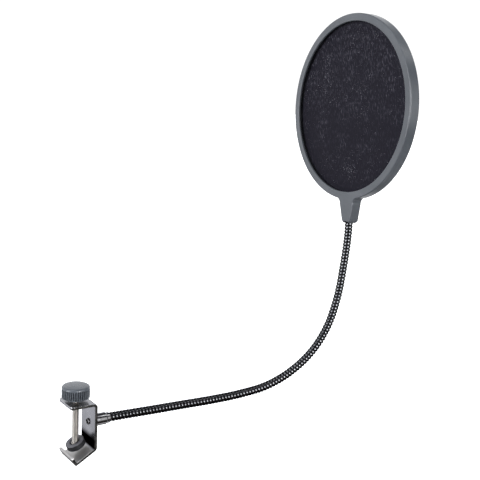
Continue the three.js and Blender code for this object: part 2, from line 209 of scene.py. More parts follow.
def buildFloor():
    reach, drop = studio["floorReach"] * mm, cadBox[0][2] - studio["floorDrop"] * mm
    mesh = bpy.data.meshes.new("floor")
    rim = [(reach * math.cos(a), reach * math.sin(a), drop) for a in (i * math.tau / 64 for i in range(64))]
    mesh.from_pydata(rim, [], [list(range(64))])
    floor = bpy.data.objects.new("floor", mesh)
    scene.collection.objects.link(floor)
    material = bpy.data.materials.new("paleFloor")
    material.use_nodes = True
    shader = material.node_tree.nodes["Principled BSDF"]
    shader.inputs["Base Color"].default_value = (0.82, 0.82, 0.82, 1)
    shader.inputs["Roughness"].default_value = 0.9
    shader.inputs["Emission Color"].default_value = (1, 1, 1, 1)
    path = material.node_tree.nodes.new("ShaderNodeLightPath")
    glow = material.node_tree.nodes.new("ShaderNodeMath")
    glow.operation = "MULTIPLY"
    glow.inputs[1].default_value = studio["floorGlow"]
    material.node_tree.links.new(path.outputs["Is Camera Ray"], glow.inputs[0])
    material.node_tree.links.new(glow.outputs[0], shader.inputs["Emission Strength"])
    mesh.materials.append(material)
    floor.visible_glossy = False


buildWorld()
buildFloor()
scene.view_settings.view_transform = "Standard"
print("studio built")


# mesh helpers

def linkMesh(name, mesh, material, smooth=38):
    mesh.materials.append(material)
    mesh.shade_smooth()
    mesh.set_sharp_from_angle(angle=math.radians(smooth))
    piece = bpy.data.objects.new(name, mesh)
    scene.collection.objects.link(piece)
    return piece


def closeMesh(name, verts, faces, material, place=None, smooth=38):
    shape = bmesh.new()
    points = [shape.verts.new(v) for v in verts]
    for face in faces:
        corners = [points[i] for i in face]
        shape.faces.new(corners)
    bmesh.ops.remove_doubles(shape, verts=shape.verts, dist=1e-4)
    bmesh.ops.dissolve_degenerate(shape, edges=shape.edges, dist=1e-4)
    bmesh.ops.recalc_face_normals(shape, faces=shape.faces)
    if place is not None:
        bmesh.ops.transform(shape, matrix=place, verts=shape.verts)
    bmesh.ops.scale(shape, vec=(mm, mm, mm), verts=shape.verts)
    mesh = bpy.data.meshes.new(name)
    shape.to_mesh(mesh)
    shape.free()
    return linkMesh(name, mesh, material, smooth)


def filletLoop(corners, steps=5):
    # a closed outline from (x, y, radius) corners
    points = []
    for i, (x, y, radius) in enumerate(corners):
        here = Vector((x, y))
        if radius <= 0:
            points.append(here)
            continue
        back = (Vector(corners[i - 1][:2]) - here).normalized()
        ahead = (Vector(corners[(i + 1) % len(corners)][:2]) - here).normalized()
        half = back.angle(ahead) / 2
        centre = here + (back + ahead).normalized() * (radius / math.sin(half))
        start = here + back * (radius / math.tan(half)) - centre
        end = here + ahead * (radius / math.tan(half)) - centre
        turn = start.angle(end)
        for k in range(steps + 1):
            t = k / steps
            spoke = (start * math.sin((1 - t) * turn) + end * math.sin(t * turn)) / math.sin(turn)
            points.append(centre + spoke)
    return points


def revolve(name, corners, place, material, around=96, steps=5, smooth=38):
    # turns a closed outline of (radius, height, fillet) round the Z axis of place
    outline = filletLoop(corners, steps)
    count = len(outline)
    verts, faces = [], []
    for j in range(around):
        angle = math.tau * j / around
        verts += [(max(p.x, 0) * math.cos(angle), max(p.x, 0) * math.sin(angle), p.y) for p in outline]
    for j in range(around):
        a, b = j * count, ((j + 1) % around) * count
        for i in range(count):
            k = (i + 1) % count
            if outline[i].x <= 1e-6 and outline[k].x <= 1e-6:
                continue
            faces.append((a + i, b + i, b + k, a + k))
    return closeMesh(name, verts, faces, material, place, smooth)


def bakeModifiers(piece):
    graph = bpy.context.evaluated_depsgraph_get()
    done = bpy.data.meshes.new_from_object(piece.evaluated_get(graph))
    plain = piece.data
    piece.modifiers.clear()
    piece.data = done
    bpy.data.meshes.remove(plain)


def cutAway(piece, cutters):
    for cutter in cutters:
        modifier = piece.modifiers.new("cut", "BOOLEAN")
        modifier.operation = "DIFFERENCE"
        modifier.solver = "EXACT"
        modifier.object = cutter
    bakeModifiers(piece)
    for cutter in cutters:
        bpy.data.objects.remove(cutter)


def softenEdges(piece, width, segments=3, angle=40):
    bevel = piece.modifiers.new("edges", "BEVEL")
    bevel.width = width * mm
    bevel.segments = segments
    bevel.limit_method = "ANGLE"
    bevel.angle_limit = math.radians(angle)
    bevel.harden_normals = True
    bakeModifiers(piece)


def evenNormals(piece):
    modifier = piece.modifiers.new("normals", "WEIGHTED_NORMAL")
    modifier.keep_sharp = True
    bakeModifiers(piece)


def finishPiece(piece, body, slot, *replaced):
    if body:
        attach(piece, body)
    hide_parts(*replaced)
    return piece


def centreOf(node):
    low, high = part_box(node)
    return (Vector(low) + Vector(high)) / (2 * mm)


def spanAlong(node, origin, axis):
    # lowest and highest place of a CAD node's points along an axis, in millimetres
    places = [(v.co / mm - origin).dot(axis) for v in nodes[node].data.vertices]
    return min(places), max(places)


# material groups

def newGroup(name, inputs, outputs):
    group = bpy.data.node_groups.new(name, "ShaderNodeTree")
    for label, value in inputs:
        kind = "NodeSocketVector" if isinstance(value, tuple) else "NodeSocketFloat"
        socket = group.interface.new_socket(name=label, in_out="INPUT", socket_type=kind)
        socket.default_value = value
    for label in outputs:
        group.interface.new_socket(name=label, in_out="OUTPUT", socket_type="NodeSocketFloat")
    return group, group.nodes.new("NodeGroupInput"), group.nodes.new("NodeGroupOutput")


def wire(tree, source, target):
    if isinstance(source, (int, float, tuple)):
        target.default_value = source
    else:
        tree.links.new(source, target)


def noiseNode(tree, vector, scale, detail=2.0, rough=0.5, distortion=0.0):
    node = tree.nodes.new("ShaderNodeTexNoise")
    wire(tree, vector, node.inputs["Vector"])
    wire(tree, scale, node.inputs["Scale"])
    node.inputs["Detail"].default_value = detail
    node.inputs["Roughness"].default_value = rough
    node.inputs["Distortion"].default_value = distortion
    return node.outputs["Fac"]


def rangeNode(tree, value, low, high, toLow=0.0, toHigh=1.0):
    node = tree.nodes.new("ShaderNodeMapRange")
    node.interpolation_type = "SMOOTHSTEP"
    given = {"Value": value, "From Min": low, "From Max": high, "To Min": toLow, "To Max": toHigh}
    for socket, source in given.items():
        wire(tree, source, node.inputs[socket])
    return node.outputs["Result"]


def mathNode(tree, operation, a, b=0.0):
    node = tree.nodes.new("ShaderNodeMath")
    node.operation = operation
    wire(tree, a, node.inputs[0])
    wire(tree, b, node.inputs[1])
    return node.outputs[0]


def stretchNode(tree, vector, scale, turn=(0.0, 0.0, 0.0)):
    node = tree.nodes.new("ShaderNodeMapping")
    wire(tree, vector, node.inputs["Vector"])
    node.inputs["Scale"].default_value = scale
    node.inputs["Rotation"].default_value = turn
    return node.outputs[0]


def buildGrainGroup():
    # fine moulded or painted grain, with a slow change of tone
    scales = [("Grain scale", 2500.0), ("Tone scale", 45.0)]
    group, given, out = newGroup("surfaceGrain", scales, ["Height", "Tone"])
    place = group.nodes.new("ShaderNodeTexCoord").outputs["Object"]
    wire(group, noiseNode(group, place, given.outputs["Grain scale"], 3.0, 0.6), out.inputs["Height"])
    tone = noiseNode(group, place, given.outputs["Tone scale"], 4.0, 0.55)
    wire(group, rangeNode(group, tone, 0.3, 0.7), out.inputs["Tone"])
    return group


def buildHandlingGroup():
    # smudges and hair scratches from handling
    scales = [("Smudge scale", 120.0), ("Scratch scale", 500.0)]
    group, given, out = newGroup("handling", scales, ["Smudge", "Scratch"])
    place = group.nodes.new("ShaderNodeTexCoord").outputs["Object"]
    smudge = noiseNode(group, place, given.outputs["Smudge scale"], 5.0, 0.6, 0.6)
    wire(group, rangeNode(group, smudge, 0.35, 0.75), out.inputs["Smudge"])
    scale = given.outputs["Scratch scale"]
    oneWay = stretchNode(group, place, (1.0, 0.06, 0.4), (0.3, 0.2, 0.5))
    otherWay = stretchNode(group, place, (0.05, 1.0, 0.6), (0.5, 0.1, 0.9))
    one, other = (rangeNode(group, noiseNode(group, way, scale), 0.72, 0.80) for way in (oneWay, otherWay))
    crossed = mathNode(group, "MAXIMUM", one, other)
    wire(group, crossed, out.inputs["Scratch"])
    return group


def buildDustGroup():
    # sparse pale specks of lint and dust
    group, given, out = newGroup("dust", [("Speck scale", 900.0), ("Amount", 0.5)], ["Specks"])
    place = group.nodes.new("ShaderNodeTexCoord").outputs["Object"]
    speck = noiseNode(group, place, given.outputs["Speck scale"], 1.0, 0.5)
    patch = noiseNode(group, place, 40.0, 2.0, 0.5)
    limit = mathNode(group, "SUBTRACT", 0.86, mathNode(group, "MULTIPLY", patch, given.outputs["Amount"]))
    top = mathNode(group, "ADD", limit, 0.07)
    wire(group, rangeNode(group, speck, limit, top), out.inputs["Specks"])
    return group


grainGroup = buildGrainGroup()
handlingGroup = buildHandlingGroup()
dustGroup = buildDustGroup()


dustColour = (0.42, 0.42, 0.44)


def useGroup(tree, group, **values):
    node = tree.nodes.new("ShaderNodeGroup")
    node.node_tree = group
    for key, value in values.items():
        label = key.replace("_", " ")
        wire(tree, value, node.inputs[label])
    return node


def mixColour(tree, factor, a, b, kind="MIX"):
    node = tree.nodes.new("ShaderNodeMix")
    node.data_type = "RGBA"
    node.blend_type = kind
    wire(tree, factor, node.inputs[0])
    for value, socket in ((a, node.inputs[6]), (b, node.inputs[7])):
        wire(tree, (*value, 1.0) if isinstance(value, tuple) and len(value) == 3 else value, socket)
    return node.outputs[2]


def bumpInto(tree, shader, height, strength, distance):
    bump = tree.nodes.new("ShaderNodeBump")
    bump.inputs["Strength"].default_value = strength
    bump.inputs["Distance"].default_value = distance * mm
    wire(tree, height, bump.inputs["Height"])
    wire(tree, bump.outputs["Normal"], shader.inputs["Normal"])


def newMaterial(name, **fixed):
    material = bpy.data.materials.new(name)
    material.use_nodes = True
    shader = material.node_tree.nodes["Principled BSDF"]
    for key, value in fixed.items():
        shader.inputs[key.replace("_", " ")].default_value = value
    return material, material.node_tree, shader


def crestMask(tree, low, high):
    depth = tree.nodes.new("ShaderNodeAttribute")
    depth.attribute_name = "crest"
    return rangeNode(tree, depth.outputs["Fac"], low, high)


def placeMask(tree, ranges):
    # 1 where the place, in millimetres, has passed the end of every range, given as (axis, from, to)
    split = tree.nodes.new("ShaderNodeSeparateXYZ")
    wire(tree, tree.nodes.new("ShaderNodeTexCoord").outputs["Object"], split.inputs[0])
    mask = 1.0
    for axis, start, end in ranges:
        mask = mathNode(tree, "MULTIPLY", rangeNode(tree, split.outputs[axis], start * mm, end * mm), mask)
    return mask


# values that a plated or moulded finish has unless it says otherwise
platedLook = {
    "scratch": 0.08, "scratchScale": 500.0, "toneScale": 120.0, "depth": 0.02, "rim": 1.0,
}
plasticLook = {
    "specular": 0.5, "scratch": 0.3, "dust": 0.3, "dustShow": 0.3, "smudgeScale": 160.0,
    "scratchScale": 500.0, "speckScale": 1800.0, "grainScale": 2600.0, "toneScale": 120.0,
    "bump": 0.35, "depth": 0.05,
}


def wearAndGrain(tree, look):
    smudge, scratch = look["smudgeScale"], look["scratchScale"]
    wear = useGroup(tree, handlingGroup, Smudge_scale=smudge, Scratch_scale=scratch)
    grain = useGroup(tree, grainGroup, Grain_scale=look["grainScale"], Tone_scale=look["toneScale"])
    return wear, grain


def platedMaterial(name, look):
    # polished or plated metal with faint smudges and hair scratches, with painted light and shade at some places
    look = {**platedLook, **look}
    rim = look["rim"]
    material, tree, shader = newMaterial(name, Metallic=1.0, Specular_Tint=(rim, rim, rim, 1.0))
    wear, grain = wearAndGrain(tree, look)
    colour = mixColour(tree, grain.outputs["Tone"], look["dark"], look["light"])
    rough = rangeNode(tree, wear.outputs["Smudge"], 0.0, 1.0, look["smooth"], look["rough"])
    # painted light and shade: each place blends in its own colour and roughness
    for ranges, tone, rougher in look.get("places", ()):
        mask = placeMask(tree, ranges)
        colour = mixColour(tree, mask, colour, tone)
        rough = mathNode(tree, "ADD", rough, mathNode(tree, "MULTIPLY", mask, rougher))
    wire(tree, colour, shader.inputs["Base Color"])
    scratches = mathNode(tree, "MULTIPLY", wear.outputs["Scratch"], look["scratch"])
    rough = mathNode(tree, "ADD", rough, scratches)
    wire(tree, rough, shader.inputs["Roughness"])
    bumpInto(tree, shader, grain.outputs["Height"], look["bump"], look["depth"])
    return material


def plasticMaterial(name, look):
    # moulded plastic with fine grain, slow tone changes and a little dust
    look = {**plasticLook, **look}
    material, tree, shader = newMaterial(name, Specular_IOR_Level=look["specular"])
    wear, grain = wearAndGrain(tree, look)
    dust = useGroup(tree, dustGroup, Speck_scale=look["speckScale"], Amount=look["dust"])
    colour = mixColour(tree, grain.outputs["Tone"], look["dark"], look["light"])
    scratches = mathNode(tree, "MULTIPLY", wear.outputs["Scratch"], look["scratch"])
    colour = mixColour(tree, scratches, colour, look["worn"])
    specks = mathNode(tree, "MULTIPLY", dust.outputs["Specks"], look["dustShow"])
    colour = mixColour(tree, specks, colour, dustColour)
    # painted shade: where the crest attribute is low, at the bottoms of flutes, the colour goes to a darker one
    if "grooveShade" in look:
        colour = mixColour(tree, crestMask(tree, 0.2, 0.8), look["grooveShade"], colour)
    wire(tree, colour, shader.inputs["Base Color"])
    rough = rangeNode(tree, wear.outputs["Smudge"], 0.0, 1.0, look["smooth"], look["rough"])
    wire(tree, rough, shader.inputs["Roughness"])
    bumpInto(tree, shader, grain.outputs["Height"], look["bump"], look["depth"])
    return material


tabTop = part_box("clamp_bracket")[1][2] / mm
blackNickel = platedMaterial("blackNickel", {
    "dark": (0.31, 0.31, 0.328), "light": (0.38, 0.38, 0.402), "rim": 0.3, "smooth": 0.22, "rough": 0.32,
    "smudgeScale": 130.0, "scratchScale": 420.0, "grainScale": 900.0, "toneScale": 70.0, "bump": 0.08,
    "places": (  # where in millimetres, colour, added roughness
        # painted highlight on the tab's top face: a lighter colour standing in for its reflection
        ((("Z", tabTop - 0.6, tabTop - 0.1),), (0.47, 0.47, 0.485), 0.0),
        # painted light on the vee's inside: a lighter colour standing in for the lit reflection there, with added
        # roughness
        ((("X", 9.4, 7.6), ("Z", 6.5, 4.5)), (0.50, 0.485, 0.475), 0.16),
        # painted shade at the plate's foot: near-black colour standing in for the dark reflection and shade there
        ((("X", 8.4, 9.4), ("Z", 17.0, 11.0), ("Z", 4.8, 5.8)), (0.006, 0.005, 0.005), 0.1),
    ),
})
zincPlate = platedMaterial("zincPlate", {
    "dark": (0.31, 0.295, 0.272), "light": (0.41, 0.39, 0.365), "smooth": 0.34, "rough": 0.46,
    "scratch": 0.12, "smudgeScale": 200.0, "grainScale": 2200.0, "toneScale": 200.0, "bump": 0.15,
})
ferruleBlack = platedMaterial("ferruleBlack", {
    "dark": (0.16, 0.16, 0.165), "light": (0.2, 0.2, 0.205), "smooth": 0.16, "rough": 0.26,
    "smudgeScale": 160.0, "grainScale": 1200.0, "bump": 0.06,
})
shearedEdge = platedMaterial("shearedEdge", {
    "dark": (0.03, 0.029, 0.028), "light": (0.06, 0.058, 0.056), "smooth": 0.35, "rough": 0.5,
    "scratch": 0.1, "smudgeScale": 300.0, "scratchScale": 600.0, "grainScale": 2500.0,
    "toneScale": 300.0, "bump": 0.3, "depth": 0.03,
})
hoopPlastic = plasticMaterial("hoopPlastic", {
    "dark": (0.042, 0.047, 0.054), "light": (0.056, 0.061, 0.069), "worn": (0.14, 0.15, 0.16),
    "smooth": 0.28, "rough": 0.36, "scratch": 0.0, "dust": 0.22, "smudgeScale": 60.0,
    "scratchScale": 300.0, "speckScale": 1500.0, "toneScale": 30.0, "bump": 0.22, "depth": 0.03,
})
knobPlastic = plasticMaterial("knobPlastic", {
    "dark": (0.046, 0.053, 0.063), "light": (0.061, 0.069, 0.08), "worn": (0.15, 0.16, 0.18),
    "smooth": 0.26, "rough": 0.36, "dust": 0.25, "dustShow": 0.4, "smudgeScale": 150.0,
    "grainScale": 3500.0, "toneScale": 90.0, "bump": 0.25, "depth": 0.03,
    # painted shade for the flute bottoms
    "grooveShade": (0.01, 0.011, 0.013),
})
padPlastic = plasticMaterial("padPlastic", {
    "dark": (0.056, 0.055, 0.062), "light": (0.086, 0.084, 0.094), "worn": (0.13, 0.13, 0.14),
    "specular": 0.4, "smooth": 0.4, "rough": 0.55, "dustShow": 0.4,
})
# painted shade: a darker copy of the pad's plastic for its sides and underside
padSideShade = plasticMaterial("padSideShade", {
    "dark": (0.008, 0.008, 0.009), "light": (0.014, 0.014, 0.016), "worn": (0.05, 0.05, 0.055),
    "specular": 0.2, "smooth": 0.55, "rough": 0.7,
})
ringPlastic = plasticMaterial("ringPlastic", {
    "dark": (0.006, 0.006, 0.008), "light": (0.01, 0.01, 0.013), "worn": (0.03, 0.03, 0.035),
    "specular": 0.2, "smooth": 0.55, "rough": 0.7, "scratch": 0.2, "dust": 0.25, "smudgeScale": 80.0,
    "scratchScale": 400.0, "speckScale": 1500.0, "toneScale": 60.0,
})


def buildWindingMetal():
    # black chrome with painted shade down in the grooves and at grazing edges; the mesh says how deep each point
    # is
    rim = (0.15, 0.15, 0.15, 1.0)
    material, tree, shader = newMaterial("windingMetal", Metallic=1.0, Specular_Tint=rim)
    crest = crestMask(tree, 0.35, 0.9)
    grain = useGroup(tree, grainGroup, Grain_scale=1500.0, Tone_scale=120.0)
    metal = mixColour(tree, grain.outputs["Tone"], (0.062, 0.064, 0.068), (0.090, 0.091, 0.095))
    # painted shade at grazing angles: faces turned away from the view darken towards the same near-black
    edgeOn = tree.nodes.new("ShaderNodeLayerWeight")
    edgeOn.inputs["Blend"].default_value = 0.5
    grooveEdgeShade = (0.012, 0.012, 0.013)
    metal = mixColour(tree, rangeNode(tree, edgeOn.outputs["Facing"], 0.22, 0.6), metal, grooveEdgeShade)
    # painted shade down in the grooves, where the crest attribute is low
    wire(tree, mixColour(tree, crest, grooveEdgeShade, metal), shader.inputs["Base Color"])
    wire(tree, rangeNode(tree, crest, 0.0, 1.0, 0.55, 0.11), shader.inputs["Roughness"])
    return material


windingMetal = buildWindingMetal()
print("materials built")


# clamp bracket

bracket = {
    "thickness": 2.0,
    "bends": ((0.4, 1.5), (1.0, 3.0), (1.0, 3.0)),  # inside and outside radius: vee, foot, tab
    "tabLength": 20.4,
    "plateHeight": 35.4,
    "legSlope": 30,
    "legLength": 19.0,
    "veeAngle": 90,
    "lipLength": 7.2,
    "tabCorner": 3.0,
    "lipCorner": 1.4,
    "screwHole": 2.55,
    "tenonHole": 2.25,
    "edge": 0.28,
}


def cornerCutter(corner, inwards, along, thickness, radius):
    # prism that rounds one corner of a flat strip's end; inwards and along are unit directions in its plane
    across = inwards.cross(along)
    centre = corner + (inwards + along) * radius
    arc = [centre - inwards * radius * math.cos(a) - along * radius * math.sin(a)
           for a in (math.pi / 2 * i / 8 for i in range(9))]
    beyond = 1.5
    outline = arc + [corner + inwards * radius - along * beyond, corner - (inwards + along) * beyond,
                     corner + along * radius - inwards * beyond]
    outline = outline[::-1]
    count = len(outline)
    verts = [p - across * thickness for p in outline] + [p + across * thickness for p in outline]
    faces = [tuple(range(count)), tuple(range(2 * count - 1, count - 1, -1))]
    faces += [(i, (i + 1) % count, (i + 1) % count + count, i + count) for i in range(count)]
    return closeMesh("cutter", verts, faces, blackNickel)


def cylinderAlong(start, end, radius):
    axis = end - start
    place = Matrix.Translation(start) @ axis.to_track_quat("Z", "Y").to_matrix().to_4x4()
    corners = [(0, 0, 0), (radius, 0, 0), (radius, axis.length, 0), (0, axis.length, 0)]
    return revolve("cutter", corners, place, blackNickel, around=48)


def buildBracket():
    high = Vector(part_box("clamp_bracket")[1]) / mm
    thickness = bracket["thickness"]
    plateX, tabZ, half = high.x, high.z, high.y
    foot = Vector((plateX, tabZ - bracket["plateHeight"]))
    slope = math.radians(180 + bracket["legSlope"])
    vee = foot + Vector((math.cos(slope), math.sin(slope))) * bracket["legLength"]
    rise = math.radians(bracket["legSlope"] + bracket["veeAngle"])
    lip = vee + Vector((math.cos(rise), math.sin(rise))) * bracket["lipLength"]
    outer = [lip, vee, foot, Vector((plateX, tabZ)), Vector((plateX - bracket["tabLength"], tabZ))]
    ways = [(b - a).normalized() for a, b in zip(outer, outer[1:])]
    sides = [Vector((-w.y, w.x)) for w in ways]
    inner = [outer[0] + sides[0] * thickness]
    for i in range(1, len(outer) - 1):
        both = sides[i - 1] + sides[i]
        inner.append(outer[i] + both * (thickness / (1 + sides[i - 1].dot(sides[i]))))
    inner.append(outer[-1] + sides[-1] * thickness)
    bends = ((0, 0), *bracket["bends"], (0, 0))
    corners = [(p.x, p.y, wide) for p, (tight, wide) in zip(outer, bends)]
    corners += [(p.x, p.y, tight) for p, (tight, wide) in reversed(list(zip(inner, bends)))]
    outline = filletLoop(corners, 10)
    count = len(outline)
    verts = [(p.x, -half, p.y) for p in outline] + [(p.x, half, p.y) for p in outline]
    faces = [tuple(range(count)), tuple(range(2 * count - 1, count - 1, -1))]
    faces += [(i, (i + 1) % count, (i + 1) % count + count, i + count) for i in range(count)]
    piece = closeMesh("clampBracket", verts, faces, blackNickel)
    cutters = []
    tabEnd = Vector((outer[-1].x, 0, tabZ))
    lipEnd = Vector((lip.x, 0, lip.y))
    lipWay = Vector((-ways[0].x, 0, -ways[0].y))  # from the lip's edge down towards the vee
    cut = 3 * thickness
    for side in (-1, 1):
        inwards = Vector((0, -side, 0))
        edge = Vector((0, side * half, 0))
        cutters.append(cornerCutter(tabEnd + edge, inwards, Vector((1, 0, 0)), cut, bracket["tabCorner"]))
        cutters.append(cornerCutter(lipEnd + edge, inwards, -lipWay, cut, bracket["lipCorner"]))
    throughTab = Vector((0, 0, tabZ - 2 * thickness))
    cutters.append(cylinderAlong(throughTab, throughTab + Vector((0, 0, cut)), bracket["screwHole"]))
    throughPlate = Vector((plateX - 2 * thickness, 0, centreOf("base_ferrule").z))
    cutters.append(cylinderAlong(throughPlate, throughPlate + Vector((cut, 0, 0)), bracket["tenonHole"]))
    cutAway(piece, cutters)
    softenEdges(piece, bracket["edge"])
    piece.data.materials.append(shearedEdge)
    for face in piece.data.polygons:
        if abs(face.normal.y) > 0.95:
            face.material_index = 1
    return finishPiece(piece, "clamp", "bracket_paint", "clamp_bracket")


buildBracket()


# ferrule that holds the gooseneck

ferrule = {
    "radius": 4.5,
    "ring": 2.3,  # length of the narrower mouth
    "step": 0.7,
    "mouth": 3.95,
    "shoulder": 0.5,
    "bore": 3.52,
    "depth": 8,
    "tenon": 2.1,
    "head": 2.4,
    "eye": 1.75,
    "gap": 0.05,  # to the plate
}


def buildFerrule():
    low, high = (Vector(p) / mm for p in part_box("base_ferrule"))
    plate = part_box("clamp_bracket")[1][0] / mm
    inside = plate - bracket["thickness"]
    middle = Matrix.Translation((0, (low.y + high.y) / 2, (low.z + high.z) / 2))
    place = middle @ Matrix.Rotation(math.pi / 2, 4, "Y")
    f = ferrule
    inside, outside = inside - f["gap"], plate + f["gap"]
    corners = [
        (f["eye"], low.x, 0.25), (f["head"], low.x, 0.35), (f["head"], inside, 0), (f["tenon"], inside, 0),
        (f["tenon"], outside, 0), (f["radius"], outside, 0.3),
        (f["radius"], high.x - f["ring"] - f["step"], f["shoulder"]), (f["mouth"], high.x - f["ring"], 0.4),
        (f["mouth"], high.x, 0.2), (f["bore"], high.x, 0.1), (f["bore"], high.x - f["depth"], 0),
        (f["eye"], high.x - f["depth"], 0),
    ]
    piece = revolve("baseFerrule", corners, place, ferruleBlack, around=72, steps=6)
    return finishPiece(piece, "clamp", "ferrule_black", "base_ferrule")


buildFerrule()


# clamp screw, knob, swivel pad

screw = {
    "crest": 2.4,
    "root": 2.02,
    "pitch": 0.8,
    "around": 40,
    "perTurn": 10,
    "groove": 1.9,  # radius of the snap ring's groove
    "grooveHalf": 0.45,
    "plainNose": 1.1,  # unthreaded end above the swivel
}


def threadMesh():
    # screw thread as rows that follow the helix, clamped to the two ends
    low, high = (Vector(p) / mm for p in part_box("clamp_screw"))
    swivel = Vector(joints["screw_spin"]["pos_m"]) / mm
    start, end = swivel.z + screw["plainNose"], high.z
    around, perTurn, pitch = screw["around"], screw["perTurn"], screw["pitch"]
    rise = pitch / perTurn
    rows = int((end - start) / rise) + perTurn + 2
    verts, faces = [], []
    for i in range(around + 1):
        angle = math.tau * i / around
        for j in range(rows):
            z = start + (j - perTurn + perTurn * i / around) * rise
            phase = ((z - start) / pitch - i / around) % 1
            z = min(max(z, start), end)
            crest = min(max((1 - abs(2 * phase - 1) - 0.12) / 0.7, 0), 1)
            fade = min((z - start) / pitch, 1)
            radius = screw["root"] + (screw["crest"] - screw["root"]) * crest * fade
            if z in (start, end):
                radius = screw["root"]
            verts.append((radius * math.cos(angle), radius * math.sin(angle), z))
    for i in range(around):
        for j in range(rows - 1):
            a, b = i * rows + j, (i + 1) * rows + j
            faces.append((a, b, b + 1, a + 1))
    for i in range(around):
        faces.append((i * rows, (i + 1) * rows, len(verts)))
        faces.append(((i + 1) * rows - 1, (i + 2) * rows - 1, len(verts) + 1))
    verts += [(0, 0, start), (0, 0, end)]
    return verts, faces, swivel, low


def buildClampScrew():
    verts, faces, swivel, low = threadMesh()
    thread = closeMesh("clampScrew", verts, faces, zincPlate, smooth=50)
    half, groove = screw["grooveHalf"], screw["groove"]
    radius = screw["crest"]
    nose = [(0, low.z - swivel.z, 0)]
    for degree in range(-80, -10, 10):
        a = math.radians(degree)
        nose.append((radius * math.cos(a), radius * math.sin(a), 0))
    top = screw["plainNose"]
    nose += [(groove, -half, 0), (groove, half, 0), (radius, half, 0.1), (radius, top, 0.2), (0, top, 0)]
    tip = revolve("screwNose", nose, Matrix.Translation(swivel), zincPlate, around=48)
    finishPiece(thread, "screw", "screw_steel", "clamp_screw")
    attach(tip, "screw")


buildClampScrew()

knob = {
    "radius": 10.1,
    "height": 9.4,
    "flutes": 38,
    "fluteDepth": 0.75,
    "perFlute": 10,
    "rim": 1.5,  # rounding of the top edge
    "dome": 0.45,
    "socket": 2.55,
    "socketDepth": 6.2,
    "foot": 0.6,
    "footInset": 2.2,
    "smoothBand": 0.7,  # plain band over the flutes
}


def buildKnob():
    low = Vector(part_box("knob")[0]) / mm
    k = knob
    sideTop = k["height"] - k["dome"] - k["rim"]
    radius, foot = k["radius"], k["foot"]
    # radius, height and share of the flutes' depth, from the socket round to the top
    rows = [(k["socket"], k["socketDepth"], 0), (k["socket"], 0.35, 0), (k["socket"] + 0.35, 0, 0),
            (radius - k["footInset"], 0, 0), (radius - foot, 0, 0), (radius - foot * 0.3, foot * 0.3, 0.5),
            (radius, foot, 1)]
    rows += [(radius, foot + (sideTop - k["smoothBand"] - foot) * i / 4, 1) for i in range(1, 5)]
    rows += [(radius, sideTop - k["smoothBand"] * 0.4, 0.35), (radius, sideTop, 0)]
    for i in range(1, 7):
        a = math.pi / 2 * i / 6
        rows.append((radius - k["rim"] * (1 - math.cos(a)), sideTop + k["rim"] * math.sin(a), 0))
    flat = radius - k["rim"]
    for i in range(1, 6):
        out = 1 - i / 6
        rows.append((flat * out, k["height"] - k["dome"] * out ** 2, 0))
    around = k["flutes"] * k["perFlute"]
    verts, faces = [], []
    for rowRadius, z, fluted in rows:
        for i in range(around):
            angle = math.tau * i / around
            wave = abs(math.cos(k["flutes"] * angle / 2)) ** 3
            r = rowRadius - fluted * k["fluteDepth"] * wave
            verts.append((r * math.cos(angle), r * math.sin(angle), z))
    for j in range(len(rows) - 1):
        for i in range(around):
            n = (i + 1) % around
            faces.append((j * around + i, j * around + n, (j + 1) * around + n, (j + 1) * around + i))
    deep, top = len(verts), len(verts) + 1
    verts += [(0, 0, k["socketDepth"]), (0, 0, k["height"])]
    last = (len(rows) - 1) * around
    for i in range(around):
        n = (i + 1) % around
        faces += [(deep, i, n), (top, last + i, last + n)]
    place = Matrix.Translation((0, 0, low.z))
    piece = closeMesh("knobRibbed", verts, faces, knobPlastic, place, smooth=50)
    # 0 at the bottom of a flute, 1 on the ribs and everywhere else
    crest = piece.data.attributes.new("crest", "FLOAT", "POINT")
    for i, vertex in enumerate(piece.data.vertices):
        x, y, z = vertex.co / mm
        depth = (radius - math.hypot(x, y)) / k["fluteDepth"]
        onSide = foot * 0.5 < z - low.z < sideTop and depth < 1.2
        crest.data[i].value = 1 - depth if onSide else 1
    return finishPiece(piece, "screw", "knob_plastic", "knob")


buildKnob()

pad = {
    "radius": 7.0,
    "above": 1.6,  # of the swivel's middle
    "below": 3.2,
    "edge": 0.7,
    "tilt": 25,  # degrees
    "mouth": 4.05,
    "throat": 3.35,
    "cupTop": 0.5,
    "cupFloor": -2.62,
    "sole": 0.3,  # thickness of the raised sole
}


def buildPad():
    swivel = Vector(joints["pad_tilt"]["pos_m"]) / mm
    place = Matrix.Translation(swivel) @ Matrix.Rotation(-math.radians(pad["tilt"]), 4, "Y")
    p = pad
    radius, bottom, throat = p["radius"], -p["below"], p["throat"]
    side = bottom + p["sole"]
    corners = [
        (0, bottom, 0), (radius - 1.4, bottom, 0.2), (radius - 1.0, side, 0.2), (radius, side, p["edge"]),
        (radius, p["above"], p["edge"]), (p["mouth"], p["above"], 0.3), (throat, p["cupTop"], 0.3),
        (throat, p["cupFloor"] * 0.7, 0.4), (1.6, p["cupFloor"], 0.5), (0, p["cupFloor"], 0),
    ]
    piece = revolve("swivelPad", corners, place, padPlastic, around=96, steps=6)
    piece.data.materials.append(padSideShade)
    # painted shade: faces that don't face up along the pad's axis get the darker copy
    axis = place.to_3x3() @ Vector((0, 0, 1))
    for face in piece.data.polygons:
        if face.normal.dot(axis) < 0.5:
            face.material_index = 1
    return finishPiece(piece, "pad", "pad_plastic", "clamp_pad")


buildPad()

snapRing = {"inner": 1.98, "outer": 3.05, "thickness": 0.6, "gap": 34, "steps": 40}


